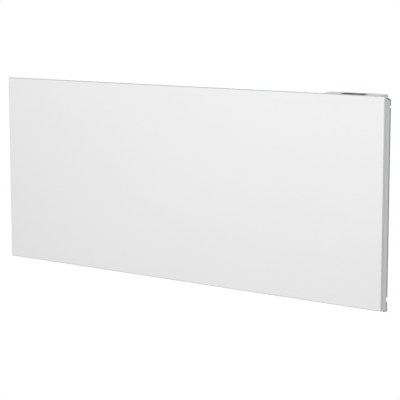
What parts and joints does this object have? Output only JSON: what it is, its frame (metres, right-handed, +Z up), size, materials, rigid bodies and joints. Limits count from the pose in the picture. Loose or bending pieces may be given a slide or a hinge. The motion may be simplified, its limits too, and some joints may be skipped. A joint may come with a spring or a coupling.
{
  "type": "wall panel convector heater",
  "caption": "Slim electric convector panel with a white glass front, a display module at the top right and a wall bracket it hangs and tilts on.",
  "frame": {"origin": "centre of the four wall screw holes, on the wall plane", "axes": "+X to the right seen from the room, +Y into the wall, +Z up; the glass front faces -Y"},
  "size_m": [0.81, 0.084, 0.345],
  "materials": {
    "white_glass": "clear tempered glass painted white on the back",
    "foam_tape": "matt acrylic foam",
    "white_steel": "fine textured powder coat",
    "grey_steel": "satin powder coat",
    "bracket_white": "satin powder coat",
    "aluminium_sheet": "mill finish sheet",
    "aluminium_fins": "extruded",
    "sheath_steel": "heat darkened",
    "spring_steel": "bright spring steel",
    "zinc_steel": "zinc plated",
    "ceramic": "unglazed steatite",
    "white_plastic": "fine spark texture",
    "key_plastic": "fine spark texture",
    "grey_plastic": "moulded",
    "dark_plastic": "moulded",
    "black_window": "smoked polished window",
    "board_green": "solder resist",
    "transformer_black": "potted",
    "capacitor_sleeve": "shrink sleeve",
    "ribbon_grey": "soft insulation",
    "rubber": "soft black rubber",
    "brown_silicone": "silicone insulation",
    "blue_silicone": "silicone insulation",
    "green_silicone": "silicone insulation",
    "brass_nut": "bright brass",
    "foil_plate": "bare anodised foil"
  },
  "bodies": {
    "wall_bracket": {"wall_arm_right": "bracket_white", "wall_arm_left": "bracket_white", "wall_rail_top": "bracket_white", "wall_rail_bottom": "bracket_white", "spring_clips": "spring_steel", "stop_pads": "rubber"},
    "heater": {"glass_panel": "white_glass", "bonding_tape": "foam_tape", "front_tray": "white_steel", "rear_pan": "grey_steel", "duct_cover": "white_steel", "heat_shield": "aluminium_sheet", "element_fins": "aluminium_fins", "element_core": "sheath_steel", "element_brackets": "zinc_steel", "element_end_caps": "ceramic", "element_terminals": "spring_steel", "limit_thermostat": "ceramic", "control_housing": "white_plastic", "control_cover": "white_plastic", "display_window": "black_window", "display_module": "dark_plastic", "control_board": "board_green", "key_switches": "dark_plastic", "power_board": "board_green", "transformer": "transformer_black", "relay": "dark_plastic", "capacitors": "capacitor_sleeve", "terminal_block": "grey_plastic", "board_ribbon": "ribbon_grey", "cord_gland": "rubber", "cord_clamp_bar": "grey_plastic", "earth_stud": "zinc_steel", "earth_nut": "brass_nut", "room_sensor": "dark_plastic", "sensor_clip": "grey_plastic", "live_lead": "brown_silicone", "link_lead": "brown_silicone", "neutral_lead": "blue_silicone", "earth_lead": "green_silicone", "sensor_lead": "ribbon_grey", "tray_screws": "zinc_steel", "cover_screws": "zinc_steel", "housing_screws": "zinc_steel", "board_screws": "zinc_steel", "clamp_screws": "zinc_steel", "hanging_lugs": "zinc_steel", "pivot_pins": "zinc_steel", "catch_blades": "zinc_steel", "lug_rivets": "zinc_steel", "rating_plate": "foil_plate"},
    "key_power": {"key_power": "key_plastic"},
    "key_minus": {"key_minus": "key_plastic"},
    "key_plus": {"key_plus": "key_plastic"},
    "key_menu": {"key_menu": "key_plastic"}
  },
  "joints": [
    {"name": "heater_tilt", "type": "hinge", "parent": "wall_bracket", "child": "heater", "pos_m": [0, -0.024, -0.13], "axis": [1, 0, 0], "range_deg": [0, 25]},
    {"name": "key_power_press", "type": "slide", "parent": "heater", "child": "key_power", "axis": [0, 0, -1], "range_m": [0, 0.0006], "stiffness_N_per_m": 500, "springref_m": -0.0004},
    {"name": "key_minus_press", "type": "slide", "parent": "heater", "child": "key_minus", "axis": [0, 0, -1], "range_m": [0, 0.0006], "stiffness_N_per_m": 500, "springref_m": -0.0004},
    {"name": "key_plus_press", "type": "slide", "parent": "heater", "child": "key_plus", "axis": [0, 0, -1], "range_m": [0, 0.0006], "stiffness_N_per_m": 500, "springref_m": -0.0004},
    {"name": "key_menu_press", "type": "slide", "parent": "heater", "child": "key_menu", "axis": [0, 0, -1], "range_m": [0, 0.0006], "stiffness_N_per_m": 500, "springref_m": -0.0004}
  ]
}
